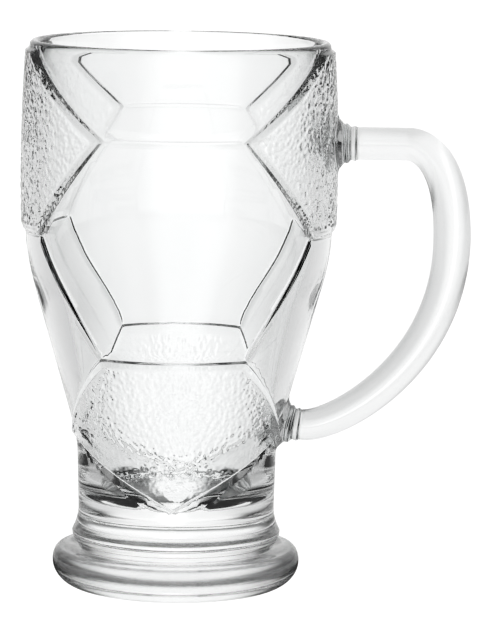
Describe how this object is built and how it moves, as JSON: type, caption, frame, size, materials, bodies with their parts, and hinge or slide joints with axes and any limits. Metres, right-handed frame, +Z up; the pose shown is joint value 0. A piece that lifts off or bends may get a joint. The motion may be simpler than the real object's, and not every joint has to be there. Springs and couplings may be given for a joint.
{
  "type": "beer mug",
  "caption": "Clear pressed-glass beer mug with raised stippled football panels on a tapering bowl, a beaded round foot and a loop handle for drinking.",
  "frame": {"origin": "centre of the foot's flat underside, on the axis of the bowl", "axes": "+Z up the bowl's axis to the rim, +X towards the handle, -Y to the front hexagon that faces the picture"},
  "size_m": [0.1312, 0.09, 0.16],
  "materials": {
    "bowl_glass": "clear polished pressed glass with fine stipple on the raised panels",
    "foot_glass": "clear fire-polished glass",
    "handle_glass": "clear fire-polished glass, slightly drawn at the roots"
  },
  "bodies": {
    "root": {"bowl": "bowl_glass", "foot": "foot_glass", "handle": "handle_glass"}
  },
  "joints": []
}
